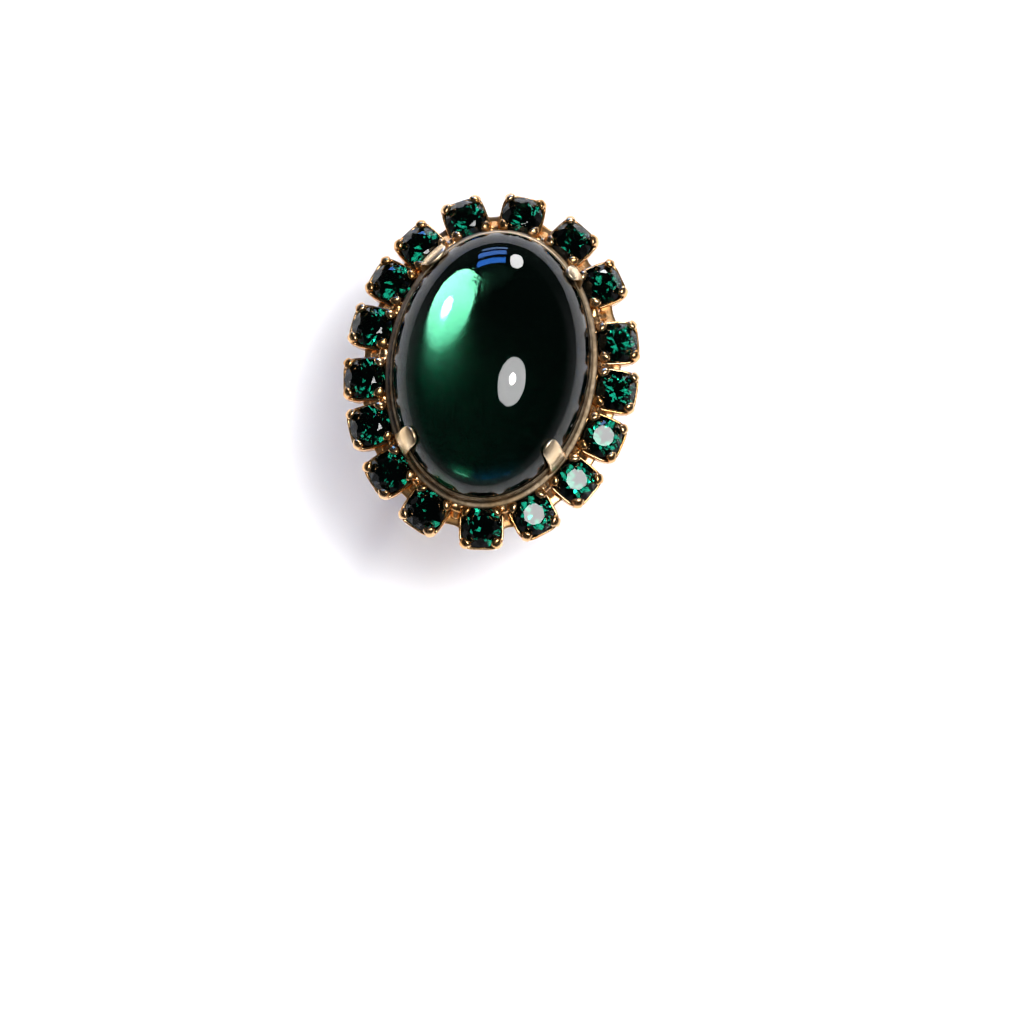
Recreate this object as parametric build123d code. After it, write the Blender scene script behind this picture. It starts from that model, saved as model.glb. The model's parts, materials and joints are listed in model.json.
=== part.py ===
from build123d import *
import math
import os

import numpy as np

# Cocktail ring: a big oval glass cabochon in a claw cup, a halo of round foiled chatons in
# four-prong cups joined by small flat links, and an adjustable split shank.
#
# Units are millimetres.  The origin is the centre of the finger hole.  +Z runs out of the
# finger towards the head, +Y runs along the finger towards its tip, +X is to the right when
# the head is looked at with the fingertip up.

# ---- Shank ---------------------------------------------------------------------------------
FINGER_BORE_RADIUS = 8.65        # finger size 7, 17.3 mm across
SHANK_THICKNESS = 0.9            # flat brass strip
SHANK_SHOULDER_WIDTH = 4.4       # strip width under the head
SHANK_END_WIDTH = 3.4            # strip width at its free ends
SHANK_END_GAP = 2.0              # opening between the two free ends at rest
SHOULDER_ANGLE = 45.0            # where each half starts to bend, from the top of the ring
BEND_CLEARANCE = 0.05            # room between a half's rounded root and the bridge
BEND_RELIEF_ANGLE = 1.2          # how far the bridge stops short of the bend line
SADDLE_LENGTH = 6.0              # soldered flat on top of the bridge, across the finger
SADDLE_RISE = 0.2                # its height above the strip

# ---- Back plate ----------------------------------------------------------------------------
PLATE_THICKNESS = 0.6
PETAL_MARGIN = 0.07              # how far each petal's round end stays inside its cup's foot
PETAL_STEM_WIDTH = 2.6
PETAL_STEM_LAP = 0.75            # how far a petal's stem runs in over the flat of the plate
PLATE_SIDE_MARGIN = 0.05         # between the flat of the plate and the feet of the cups
PIERCING_RADIUS = 1.15           # round piercings inside the gallery
PIERCING_COUNT = 10
PIERCING_INSET = 2.4             # from the gallery wall to the piercings' centre line

# ---- Gallery under the large cup -----------------------------------------------------------
GALLERY_HEIGHT = 2.25
GALLERY_WALL = 0.5
GALLERY_INSET = 1.2              # how far the gallery stands inside the large cup's wall
GALLERY_HOLE_RADIUS = 0.62
GALLERY_HOLE_COUNT = 24

# ---- Cabochon and its cup ------------------------------------------------------------------
CABOCHON_WIDTH = 18.3
CABOCHON_LENGTH = 25.5
CABOCHON_HEIGHT = 6.5
CABOCHON_GIRDLE = 0.9            # height of its upright edge
CABOCHON_CLEARANCE = 0.03
FOIL_THICKNESS = 0.1
LARGE_CUP_WALL = 0.25
LARGE_CUP_FLOOR = 0.4
BEZEL_LIP = 0.5                  # how far the cup's rim folds over the cabochon's girdle
CLAW_ANGLES = (44.0, 132.5, 219.5, 322.0)
CLAW_ROOT_WIDTH = 2.4
CLAW_TIP_WIDTH = 1.6
CLAW_REACH = 2.1                 # from the cup's outer edge to the claw's tip
CLAW_POINT = 0.4                 # length of the claw's blunt point

# ---- Chatons and their cups ----------------------------------------------------------------
CHATON_DIAMETER = 3.85           # stone size SS16
CHATON_TABLE_DIAMETER = 2.04
CHATON_CROWN = 0.7
CHATON_GIRDLE = 0.1
CHATON_PAVILION = 1.7
CHATON_SIDES = 8
CHATON_CLEARANCE = 0.03
CHATON_FLOOR_GAP = 0.1           # between the stone's point and the cup's floor
SMALL_CUP_RIM_MARGIN = 0.095     # from the stone's girdle to the middle of each side, at the rim
SMALL_CUP_FLAT = 0.87            # half the straight length of each side
SMALL_CUP_TAPER = 0.2            # how much narrower each side is at the foot
SMALL_CUP_WALL = 0.3
SMALL_CUP_FLOOR = 0.3
SEAT_DEPTH = 0.16                # how far the rim stands below the stone's girdle
PRONG_STAND_OFF = 0.2            # from the stone's girdle to each prong's centre
PRONG_RADIUS = 0.28
PRONG_BEAD_RADIUS = 0.35
PRONG_RISE = 0.34                # of the bead's centre above the stone's girdle

# ---- Halo ----------------------------------------------------------------------------------
CHATON_COUNT = 17
HALO_TILT = 8.0                  # each cup leans outwards
HALO_SIDE_GAP = 0.39             # between the large cup and the small cups' rims, at the sides
HALO_END_GAP = 0.14              # the same at the two ends of the oval
CUP_SPACING = 0.85               # least room between even cups, along the oval
FIRST_STATION = -0.72            # of cup 01 from the fingertip end of the oval, in pitches
# Each cup was soldered on by eye: how far it sits past its even station, clockwise seen from
# the head, as a share of the free gap between two even cups.
STATION_SHIFTS = (
    -0.9, -0.55, -0.2, -0.15, 0.8, 0.45, 0.1, -0.05, 0.1,
    0.1, 0.6, 0.55, 0.35, -0.1, 0.0, -0.3, -0.9,
)
LINK_WIDTH = 1.4
LINK_THICKNESS = 0.35
LINK_HEIGHT = 0.9                # of its underside above the cups' feet

ARC_STEPS = 20001                # points used to measure the oval's length

# ---- Sizes that follow ---------------------------------------------------------------------
shank_outer_radius = FINGER_BORE_RADIUS + SHANK_THICKNESS
shank_middle_radius = FINGER_BORE_RADIUS + SHANK_THICKNESS / 2
plate_bottom = shank_outer_radius + SADDLE_RISE
plate_top = plate_bottom + PLATE_THICKNESS
large_cup_bottom = plate_top + GALLERY_HEIGHT
foil_bottom = large_cup_bottom + LARGE_CUP_FLOOR
cabochon_bottom = foil_bottom + FOIL_THICKNESS
cabochon_girdle_top = cabochon_bottom + CABOCHON_GIRDLE
dome_height = CABOCHON_HEIGHT - CABOCHON_GIRDLE
bezel_top = cabochon_girdle_top + BEZEL_LIP
pocket_grow = CABOCHON_CLEARANCE
cup_grow = CABOCHON_CLEARANCE + LARGE_CUP_WALL
large_cup_half_width = CABOCHON_WIDTH / 2 + cup_grow
large_cup_half_length = CABOCHON_LENGTH / 2 + cup_grow

chaton_radius = CHATON_DIAMETER / 2
chaton_girdle_low = SMALL_CUP_FLOOR + CHATON_FLOOR_GAP + CHATON_PAVILION
chaton_girdle_high = chaton_girdle_low + CHATON_GIRDLE
small_cup_half = chaton_radius + SMALL_CUP_RIM_MARGIN
small_cup_height = chaton_girdle_low - SEAT_DEPTH
small_cup_foot = small_cup_half - SMALL_CUP_TAPER
prong_bead_height = chaton_girdle_high + PRONG_RISE
prong_offset = (chaton_radius + PRONG_STAND_OFF) / math.sqrt(2)
petal_radius = small_cup_foot - PETAL_MARGIN

tilt = math.radians(HALO_TILT)
rim_inset = small_cup_half * math.cos(tilt) - small_cup_height * math.sin(tilt)
station_height = plate_top - small_cup_foot * math.sin(tilt)


def oval_stations(half_width, half_length):
    """Angles round an oval, clockwise from its +Y end, and the length along it up to each."""
    angle = np.linspace(0.0, 2.0 * math.pi, ARC_STEPS)
    x = half_width * np.sin(angle)
    y = half_length * np.cos(angle)
    return angle, np.concatenate(([0.0], np.cumsum(np.hypot(np.diff(x), np.diff(y)))))


def halo_half_sizes():
    """Half width and half length of the oval on which the stone cups' feet stand.

    It clears the large cup, and it is wider than that where the cups need more length.
    """
    half_width = large_cup_half_width + HALO_SIDE_GAP + rim_inset
    half_length = large_cup_half_length + HALO_END_GAP + rim_inset
    perimeter = oval_stations(half_width, half_length)[1][-1]
    needed = CHATON_COUNT * (2 * small_cup_half + CUP_SPACING)
    growth = max(needed - perimeter, 0.0) / (2 * math.pi)
    return half_width + growth, half_length + growth


halo_half_width, halo_half_length = halo_half_sizes()


def halo_planes():
    """Work planes of the stone cups: origin at each foot, x along the oval, y outwards, z up.

    The stations are spaced evenly by length along the oval and then shifted a little.
    """
    angle, length = oval_stations(halo_half_width, halo_half_length)
    pitch = length[-1] / CHATON_COUNT
    free_gap = pitch - 2 * small_cup_half
    planes = []
    for index in range(CHATON_COUNT):
        shift = STATION_SHIFTS[index % len(STATION_SHIFTS)] * free_gap
        along = ((index + FIRST_STATION) * pitch + shift) % length[-1]
        turn = float(np.interp(along, length, angle))
        outward = Vector(math.sin(turn) / halo_half_width, math.cos(turn) / halo_half_length, 0)
        outward = outward.normalized()
        up = outward * math.sin(tilt) + Vector(0, 0, 1) * math.cos(tilt)
        place = Vector(
            halo_half_width * math.sin(turn), halo_half_length * math.cos(turn), station_height
        )
        planes.append(Plane(origin=place, x_dir=Vector(outward.Y, -outward.X, 0), z_dir=up))
    return planes


def sector(inner, outer, start, end, width):
    """Arc of a flat hoop about the finger axis; angles run from the top towards +X."""
    reach = 2 * outer
    hoop = Cylinder(outer, width) - Cylinder(inner, width)
    wedge = extrude(
        make_face(
            Polyline(
                (0, 0),
                (reach * math.sin(math.radians(start)), reach * math.cos(math.radians(start))),
                (
                    reach * math.sin(math.radians((start + end) / 2)),
                    reach * math.cos(math.radians((start + end) / 2)),
                ),
                (reach * math.sin(math.radians(end)), reach * math.cos(math.radians(end))),
                close=True,
            )
        ),
        width,
        both=True,
    )
    return Rot(90, 0, 0) * (hoop & wedge)


def bend_line(side):
    """Centre of a shoulder's bend, in the XZ plane."""
    turn = math.radians(SHOULDER_ANGLE)
    return Pos(side * shank_middle_radius * math.sin(turn), 0, shank_middle_radius * math.cos(turn))


def make_shank_bridge():
    """Arc under the head, with the flat saddle that is soldered to the back plate."""
    reach = SHOULDER_ANGLE - BEND_RELIEF_ANGLE
    arc = sector(FINGER_BORE_RADIUS, shank_outer_radius, -reach, reach, SHANK_SHOULDER_WIDTH)
    saddle_drop = SHANK_THICKNESS / 2
    saddle = Pos(0, 0, plate_bottom - (SADDLE_RISE + saddle_drop) / 2) * Box(
        SADDLE_LENGTH, SHANK_SHOULDER_WIDTH, SADDLE_RISE + saddle_drop
    )
    hollow = Cylinder(FINGER_BORE_RADIUS + SHANK_THICKNESS / 4, 2 * SHANK_SHOULDER_WIDTH)
    saddle -= Rot(90, 0, 0) * hollow
    bridge = arc + saddle
    for side in (-1, 1):
        socket = Rot(90, 0, 0) * Cylinder(SHANK_THICKNESS / 2 + BEND_CLEARANCE, 2 * SHANK_SHOULDER_WIDTH)
        bridge -= bend_line(side) * socket
    return bridge


def make_shank_arm(side):
    """One half of the split shank, with a rounded root and narrowing to its free end."""
    end_angle = 180.0 - math.degrees(SHANK_END_GAP / 2 / FINGER_BORE_RADIUS)
    arc = sector(FINGER_BORE_RADIUS, shank_outer_radius, SHOULDER_ANGLE, end_angle, SHANK_SHOULDER_WIDTH)
    root = Rot(90, 0, 0) * Cylinder(SHANK_THICKNESS / 2, SHANK_SHOULDER_WIDTH)
    arm = arc + bend_line(1) * root
    shoulder = shank_outer_radius * math.cos(math.radians(SHOULDER_ANGLE)) + SHANK_THICKNESS
    taper = extrude(
        Plane.YZ
        * make_face(
            Polyline(
                (SHANK_SHOULDER_WIDTH / 2, shoulder),
                (-SHANK_SHOULDER_WIDTH / 2, shoulder),
                (-SHANK_END_WIDTH / 2, -shank_outer_radius - SHANK_THICKNESS),
                (SHANK_END_WIDTH / 2, -shank_outer_radius - SHANK_THICKNESS),
                close=True,
            )
        ),
        2 * shank_outer_radius,
        both=True,
    )
    arm = arm & taper
    if side < 0:
        arm = arm.mirror(Plane.YZ)
    return arm


def oval(half_width, half_length, bottom, top):
    """Upright oval block."""
    return extrude(Pos(0, 0, bottom) * Ellipse(half_width, half_length), top - bottom)


def make_back_plate(planes):
    """Flat oval with a tilted petal under each stone cup and piercings inside the gallery."""
    inset = small_cup_foot + PLATE_SIDE_MARGIN
    plate = oval(halo_half_width - inset, halo_half_length - inset, plate_bottom, plate_top)
    stem_length = inset + PETAL_STEM_LAP
    petal = extrude(Circle(petal_radius), -PLATE_THICKNESS)
    stem = Box(PETAL_STEM_WIDTH, stem_length, PLATE_THICKNESS)
    petal += Pos(0, -stem_length / 2, -PLATE_THICKNESS / 2) * stem
    for plane in planes:
        plate += plane * petal
    ring_width = large_cup_half_width - GALLERY_INSET - PIERCING_INSET
    ring_length = large_cup_half_length - GALLERY_INSET - PIERCING_INSET
    for index in range(PIERCING_COUNT):
        turn = 2 * math.pi * (index + 0.5) / PIERCING_COUNT
        hole = Pos(ring_width * math.cos(turn), ring_length * math.sin(turn), plate_bottom)
        plate -= hole * Cylinder(PIERCING_RADIUS, 4 * PLATE_THICKNESS)
    return plate


def make_gallery_collar():
    """Oval pierced wall that lifts the large cup off the back plate."""
    half_width = large_cup_half_width - GALLERY_INSET
    half_length = large_cup_half_length - GALLERY_INSET
    collar = oval(half_width, half_length, plate_top, large_cup_bottom)
    collar -= oval(half_width - GALLERY_WALL, half_length - GALLERY_WALL, plate_top, large_cup_bottom)
    middle = (plate_top + large_cup_bottom) / 2
    for index in range(GALLERY_HOLE_COUNT):
        turn = 2 * math.pi * (index + 0.5) / GALLERY_HOLE_COUNT
        outward = Vector(math.cos(turn) / half_width, math.sin(turn) / half_length, 0)
        wall = Vector(half_width * math.cos(turn), half_length * math.sin(turn), middle)
        drill = Cylinder(GALLERY_HOLE_RADIUS, 4 * GALLERY_WALL)
        collar -= Plane(origin=wall, z_dir=outward) * drill
    return collar


def cabochon_blank(grow, bottom):
    """The cabochon's outline, made larger all round by a wall or a clearance."""
    half_width = CABOCHON_WIDTH / 2 + grow
    half_length = CABOCHON_LENGTH / 2 + grow
    dome = scale(Sphere(1.0), by=(half_width, half_length, dome_height + grow))
    dome = Pos(0, 0, cabochon_girdle_top) * dome
    upper = Pos(0, 0, cabochon_girdle_top + CABOCHON_HEIGHT) * Box(
        4 * half_width, 4 * half_length, 2 * CABOCHON_HEIGHT
    )
    return oval(half_width, half_length, bottom, cabochon_girdle_top) + (dome & upper)


def make_cabochon_cup():
    """Thin oval cup whose rim folds over the stone, with four bent claws."""
    shell = cabochon_blank(cup_grow, large_cup_bottom) - cabochon_blank(pocket_grow, foil_bottom)
    keep = Pos(0, 0, (large_cup_bottom + bezel_top) / 2) * Box(
        4 * large_cup_half_width, 4 * large_cup_half_length, bezel_top - large_cup_bottom
    )
    claw = make_face(
        Polyline(
            (-CLAW_REACH, 0),
            (CLAW_POINT - CLAW_REACH, CLAW_TIP_WIDTH / 2),
            (0, CLAW_ROOT_WIDTH / 2),
            (CLAW_REACH, CLAW_ROOT_WIDTH / 2),
            (CLAW_REACH, -CLAW_ROOT_WIDTH / 2),
            (0, -CLAW_ROOT_WIDTH / 2),
            (CLAW_POINT - CLAW_REACH, -CLAW_TIP_WIDTH / 2),
            close=True,
        )
    )
    cup = shell & keep
    for angle in CLAW_ANGLES:
        turn = math.radians(angle)
        cosine = math.cos(turn)
        sine = math.sin(turn)
        edge = Vector(large_cup_half_width * cosine, large_cup_half_length * sine, bezel_top)
        outward = Vector(cosine / large_cup_half_width, sine / large_cup_half_length, 0)
        outline = Plane(origin=edge, x_dir=outward, z_dir=(0, 0, 1)) * claw
        cup += shell & (extrude(outline, CABOCHON_HEIGHT) + extrude(outline, -BEZEL_LIP))
    return cup


def make_cabochon_foil():
    """Thin bright foil between the cabochon's back and the cup's floor."""
    return oval(CABOCHON_WIDTH / 2, CABOCHON_LENGTH / 2, foil_bottom, cabochon_bottom)


def chaton_points(radius, height, sides, turn):
    """Corners of one level of the cut stone."""
    step = 2 * math.pi / sides
    return [
        (radius * math.cos(step * (index + turn)), radius * math.sin(step * (index + turn)), height)
        for index in range(sides)
    ]


def make_chaton():
    """Cut stone: table, eight-sided crown, sixteen-sided girdle and a pointed pavilion."""
    table_height = chaton_girdle_high + CHATON_CROWN
    culet = (0, 0, chaton_girdle_low - CHATON_PAVILION)
    table = chaton_points(CHATON_TABLE_DIAMETER / 2, table_height, CHATON_SIDES, 0.0)
    high = chaton_points(chaton_radius, chaton_girdle_high, 2 * CHATON_SIDES, 0.0)
    low = chaton_points(chaton_radius, chaton_girdle_low, 2 * CHATON_SIDES, 0.0)
    loops = [table]
    for index in range(CHATON_SIDES):
        after = (index + 1) % CHATON_SIDES
        corner = 2 * index
        middle = corner + 1
        following = (corner + 2) % (2 * CHATON_SIDES)
        loops.append([table[index], high[middle], table[after]])
        loops.append([table[index], high[corner], high[middle]])
        loops.append([table[after], high[middle], high[following]])
    for index in range(2 * CHATON_SIDES):
        after = (index + 1) % (2 * CHATON_SIDES)
        loops.append([high[index], low[index], low[after], high[after]])
        loops.append([low[index], culet, low[after]])
    faces = [Face(Wire.make_polygon([Vector(*point) for point in loop], close=True)) for loop in loops]
    return Solid(Shell(faces))


def chaton_envelope():
    """Turned space that a chaton needs in its cup, with the clearance all round."""
    gap = CHATON_CLEARANCE
    profile = Polyline(
        (0, chaton_girdle_low - CHATON_PAVILION - gap),
        (chaton_radius + gap, chaton_girdle_low),
        (chaton_radius + gap, chaton_girdle_high),
        (CHATON_TABLE_DIAMETER / 2 + gap, chaton_girdle_high + CHATON_CROWN + gap),
        (0, chaton_girdle_high + CHATON_CROWN + gap),
        close=True,
    )
    return revolve(Plane.XZ * make_face(profile), Axis.Z)


def small_cup_blank(inset, bottom):
    """Rounded-square block with tapering sides, from a height up to the rim."""
    foot_half = small_cup_foot + SMALL_CUP_TAPER * bottom / small_cup_height - inset
    rim_half = small_cup_half - inset
    foot_corner = foot_half - SMALL_CUP_FLAT
    rim_corner = rim_half - SMALL_CUP_FLAT
    foot = Pos(0, 0, bottom) * RectangleRounded(2 * foot_half, 2 * foot_half, foot_corner)
    rim = Pos(0, 0, small_cup_height) * RectangleRounded(2 * rim_half, 2 * rim_half, rim_corner)
    return loft([foot, rim])


def make_stone_cup():
    """Hollow rounded-square cup with four bead-tipped prongs bent over the stone."""
    cup = small_cup_blank(0, 0) - small_cup_blank(SMALL_CUP_WALL, SMALL_CUP_FLOOR)
    prong_height = prong_bead_height - SMALL_CUP_FLOOR
    for x_side in (-1, 1):
        for y_side in (-1, 1):
            foot = Pos(x_side * prong_offset, y_side * prong_offset, SMALL_CUP_FLOOR)
            cup += foot * extrude(Circle(PRONG_RADIUS), prong_height)
            cup += foot * Pos(0, 0, prong_height) * Sphere(PRONG_BEAD_RADIUS)
    return cup - chaton_envelope()


def make_chain_link(first, second, blank):
    """Flat link between two neighbouring cups, shaped at both ends to their walls."""
    middle = (first.origin + second.origin) / 2
    along = second.origin - first.origin
    up = (first.z_dir + second.z_dir).normalized()
    across = up.cross(along).normalized()
    bar = Box(along.length, LINK_WIDTH, LINK_THICKNESS)
    frame = Plane(origin=middle, x_dir=along, z_dir=along.cross(across).normalized())
    bar = frame * Pos(0, 0, LINK_HEIGHT + LINK_THICKNESS / 2) * bar
    return bar - first * blank - second * blank


planes = halo_planes()
cup_model = make_stone_cup()
chaton_model = make_chaton()
blank_model = small_cup_blank(0, 0)

nodes = {
    "shank_bridge": make_shank_bridge(),
    "shank_arm_left": make_shank_arm(-1),
    "shank_arm_right": make_shank_arm(1),
    "back_plate": make_back_plate(planes),
    "gallery_collar": make_gallery_collar(),
    "cabochon_cup": make_cabochon_cup(),
    "cabochon_foil": make_cabochon_foil(),
    "cabochon": cabochon_blank(0, cabochon_bottom),
}
for index, plane in enumerate(planes):
    number = f"{index + 1:02d}"
    following = planes[(index + 1) % CHATON_COUNT]
    nodes[f"stone_cup_{number}"] = plane * cup_model
    nodes[f"rhinestone_{number}"] = plane * chaton_model
    nodes[f"chain_link_{number}"] = make_chain_link(plane, following, blank_model)

os.makedirs("parts", exist_ok=True)
for name, solid in nodes.items():
    export_step(solid, f"parts/{name}.step")
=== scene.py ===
"""Cocktail ring: finished surfaces and materials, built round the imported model.

Lengths inside the classes are millimetres; a mesh is turned to metres as it is made.
"""

import json
import logging
import math
from dataclasses import dataclass, field
from enum import Enum

import bpy
import numpy as np
from mathutils import Matrix, Vector
from numpy.typing import NDArray


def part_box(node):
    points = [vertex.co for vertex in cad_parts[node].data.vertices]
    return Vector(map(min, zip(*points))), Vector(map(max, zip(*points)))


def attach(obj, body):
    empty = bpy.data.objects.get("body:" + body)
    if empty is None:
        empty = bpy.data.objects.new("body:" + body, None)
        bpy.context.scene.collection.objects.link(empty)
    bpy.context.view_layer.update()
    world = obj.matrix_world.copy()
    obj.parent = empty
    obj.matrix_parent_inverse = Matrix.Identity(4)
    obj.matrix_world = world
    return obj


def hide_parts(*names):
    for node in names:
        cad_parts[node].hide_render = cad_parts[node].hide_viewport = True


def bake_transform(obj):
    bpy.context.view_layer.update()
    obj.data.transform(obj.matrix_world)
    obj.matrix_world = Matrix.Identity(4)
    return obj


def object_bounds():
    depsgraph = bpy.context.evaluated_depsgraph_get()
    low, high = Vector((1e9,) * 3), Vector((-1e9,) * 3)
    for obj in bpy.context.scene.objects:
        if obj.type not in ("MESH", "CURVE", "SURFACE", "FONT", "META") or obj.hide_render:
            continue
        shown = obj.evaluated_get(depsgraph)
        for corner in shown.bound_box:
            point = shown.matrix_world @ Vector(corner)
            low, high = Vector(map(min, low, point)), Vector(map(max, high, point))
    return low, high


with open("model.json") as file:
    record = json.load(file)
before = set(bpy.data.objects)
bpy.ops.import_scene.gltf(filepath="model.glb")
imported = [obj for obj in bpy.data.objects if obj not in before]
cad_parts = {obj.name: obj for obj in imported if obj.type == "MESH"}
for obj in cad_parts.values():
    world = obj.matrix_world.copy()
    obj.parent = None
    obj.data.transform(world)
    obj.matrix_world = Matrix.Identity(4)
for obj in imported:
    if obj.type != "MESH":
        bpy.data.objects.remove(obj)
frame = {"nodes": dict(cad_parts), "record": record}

CAD_BOX = [list(corner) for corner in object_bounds()]

Array = NDArray[np.float64]
Faces = list[NDArray[np.int64]]

MM = 0.001
FULL_TURN = 2.0 * math.pi
SPECKLES_PER_CREASE = 1.3  # how much finer a foil's speckle is than its creases
CHATON_NUMBERS = [f"{number:02d}" for number in range(1, 18)]

log = logging.getLogger("ring")


class Body(Enum):
    """The bodies that pieces ride on."""

    HEAD = "head"
    ARM_LEFT = "arm_left"
    ARM_RIGHT = "arm_right"


class Slot(Enum):
    """The record's material slots."""

    GOLD = "gold_plate"
    CUP_GOLD = "cup_gold"
    FOIL = "foil"
    CABOCHON = "cabochon_glass"
    CHATON = "chaton_glass"


# ---- Surfaces ------------------------------------------------------------------------------


@dataclass
class Surface:
    """Points (n, 3) in millimetres, faces as arrays of corner numbers, and point values."""

    points: Array
    faces: Faces
    values: dict[str, Array] = field(default_factory=dict)

    def moved(self, place: "Station") -> "Surface":
        """The same surface carried from a station's own axes to the ring's."""
        return Surface(place.to_ring(self.points), self.faces, self.values)

    def with_painted_shade(self, recess: Array | float) -> "Surface":
        """The surface with its values of painted shade: 0 where none is painted, 1 where most is."""
        self.values["recess"] = np.broadcast_to(recess, len(self.points)).astype(float)
        return self

    def outward(self) -> "Surface":
        """The surface with its faces turned outwards, by the sign of its enclosed volume."""
        volume = 0.0
        for block in self.faces:
            first = self.points[block[:, 0]]
            for corner in range(1, block.shape[1] - 1):
                second = self.points[block[:, corner]]
                third = self.points[block[:, corner + 1]]
                volume += float(np.einsum("ij,ij->", first, np.cross(second, third)))
        if volume < 0.0:
            self.faces = [block[:, ::-1] for block in self.faces]
        return self


def join(surfaces: list[Surface]) -> Surface:
    """Several closed surfaces as one.

    Args:
        surfaces: the surfaces; a point value that one of them lacks counts as 0 there.

    Returns:
        One surface whose corner numbers are counted on from part to part.
    """
    faces: Faces = []
    start = 0
    names = sorted({name for surface in surfaces for name in surface.values})
    for surface in surfaces:
        faces += [block + start for block in surface.faces]
        start += len(surface.points)
    points = np.concatenate([surface.points for surface in surfaces])
    values = {
        name: np.concatenate([s.values.get(name, np.zeros(len(s.points))) for s in surfaces])
        for name in names
    }
    return Surface(points, faces, values)


def around(count: int) -> Array:
    """Evenly spaced angles round one full turn, the end left out because it is the start."""
    return np.linspace(0.0, FULL_TURN, count, endpoint=False)


def ramp(values: Array, start: float, width: float) -> Array:
    """0 up to the start, then rising evenly to 1 over the width."""
    return np.clip((values - start) / width, 0.0, 1.0)


def unit(vectors: Array) -> Array:
    """The vectors along the last axis, each divided by its length."""
    return vectors / np.linalg.norm(vectors, axis=-1, keepdims=True)


def lifted(plan: Array, level: Array) -> Array:
    """Plan points, whose last axis is 2, with their levels as the third coordinate."""
    return np.concatenate([plan, np.broadcast_to(level, plan.shape[:-1])[..., None]], axis=-1)


def grid(points: Array, first: Array | None = None, last: Array | None = None) -> Surface:
    """Closed surface over a grid whose columns wrap round.

    Each quad joins a point to its neighbours in the next row and the next column. The first
    and last rows are closed by a fan of triangles to a pole each.

    Args:
        points: grid of shape (rows, columns, 3).
        first: pole that closes the first row, or the row's own centre.
        last: pole that closes the last row, or the row's own centre.

    Returns:
        The surface, its faces outwards.
    """
    rows, columns = points.shape[:2]
    number = np.arange(rows * columns).reshape(rows, columns)
    beside = np.roll(number, -1, axis=1)
    quads = np.stack([number[:-1], beside[:-1], beside[1:], number[1:]], axis=-1).reshape(-1, 4)
    start = points[0].mean(axis=0) if first is None else first
    end = points[-1].mean(axis=0) if last is None else last
    low = np.full(columns, rows * columns)
    fans = [(low, beside[0], number[0]), (low + 1, number[-1], beside[-1])]
    fans = np.concatenate([np.stack(fan, axis=-1) for fan in fans])
    everything = np.concatenate([points.reshape(-1, 3), [start, end]])
    return Surface(everything, [quads, fans]).outward()


def faced(points: Array, faces: Faces, origin: Array) -> Faces:
    """Flat faces turned away from a point.

    Args:
        points: array (n, 3).
        faces: blocks of corner numbers.
        origin: the point; a face whose normal looks towards it has its corners reversed.

    Returns:
        The same blocks, each face's corners in the order that turns it away.
    """
    turned = []
    for block in faces:
        a, b, c = (points[block[:, corner]] for corner in range(3))
        away = points[block].mean(axis=1) - origin
        inwards = np.einsum("ij,ij->i", np.cross(b - a, c - a), away) < 0.0
        turned.append(np.where(inwards[:, None], block[:, ::-1], block))
    return turned


def smooth_path(corners: Array, count: int) -> Array:
    """Evenly numbered points on the Catmull-Rom curve through a few corners.

    Between two corners the curve is the cubic whose slope at each is half the step between
    that corner's neighbours.

    Args:
        corners: array (n, k) of the corners' values.
        count: how many points to give.

    Returns:
        Array (count, k).
    """
    padded = np.concatenate([[2 * corners[0] - corners[1]], corners, [2 * corners[-1] - corners[-2]]])
    place = np.linspace(0.0, len(corners) - 1, count)
    left = np.minimum(place.astype(int), len(corners) - 2)
    t = (place - left)[:, None]
    p0, p1, p2, p3 = (padded[left + step] for step in range(4))
    return 0.5 * (
        2 * p1 + (p2 - p0) * t + (2 * p0 - 5 * p1 + 4 * p2 - p3) * t**2 + (3 * p1 - p0 - 3 * p2 + p3) * t**3
    )


def rounded(angle: Array, power: float) -> tuple[Array, Array]:
    """Superellipse of half size 1: each coordinate is the cosine or sine to 2/power, signed."""
    across, up = (np.sign(part) * np.abs(part) ** (2.0 / power) for part in (np.cos(angle), np.sin(angle)))
    return across, up


def make_piece(name: str, surface: Surface, smooth: bool = True) -> bpy.types.Object:
    """Puts a surface into a mesh object at the origin.

    Args:
        name: the piece's name.
        surface: its points, in millimetres, and faces.
        smooth: whether the faces are shaded as one curved skin.

    Returns:
        The object, linked into the scene.
    """
    mesh = bpy.data.meshes.new(name)
    sizes = np.concatenate([np.full(len(block), block.shape[1]) for block in surface.faces])
    corners = np.concatenate([block.ravel() for block in surface.faces])
    starts = np.concatenate([[0], np.cumsum(sizes)[:-1]])
    mesh.vertices.add(len(surface.points))
    mesh.vertices.foreach_set("co", (surface.points * MM).astype(np.float32).ravel())
    mesh.loops.add(len(corners))
    mesh.loops.foreach_set("vertex_index", corners.astype(np.int32))
    mesh.polygons.add(len(sizes))
    mesh.polygons.foreach_set("loop_start", starts.astype(np.int32))
    mesh.polygons.foreach_set("loop_total", sizes.astype(np.int32))
    mesh.polygons.foreach_set("use_smooth", np.full(len(sizes), smooth))
    for key, value in surface.values.items():
        attribute = mesh.attributes.new(key, "FLOAT", "POINT")
        attribute.data.foreach_set("value", value.astype(np.float32))
    mesh.update(calc_edges=True)
    mesh.validate()
    piece = bpy.data.objects.new(name, mesh)
    bpy.context.scene.collection.objects.link(piece)
    return piece


def dress(
    piece: bpy.types.Object,
    material: bpy.types.Material,
    body: Body | None = Body.HEAD,
    replaces: tuple[str, ...] = (),
) -> None:
    """Gives a piece its material, the body it rides on and the nodes it stands for."""
    piece.data.materials.clear()
    piece.data.materials.append(material)
    if body is not None:
        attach(piece, body.value)
    if replaces:
        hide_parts(*replaces)
    log.info("piece %s: %d faces", piece.name, len(piece.data.polygons))


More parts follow.
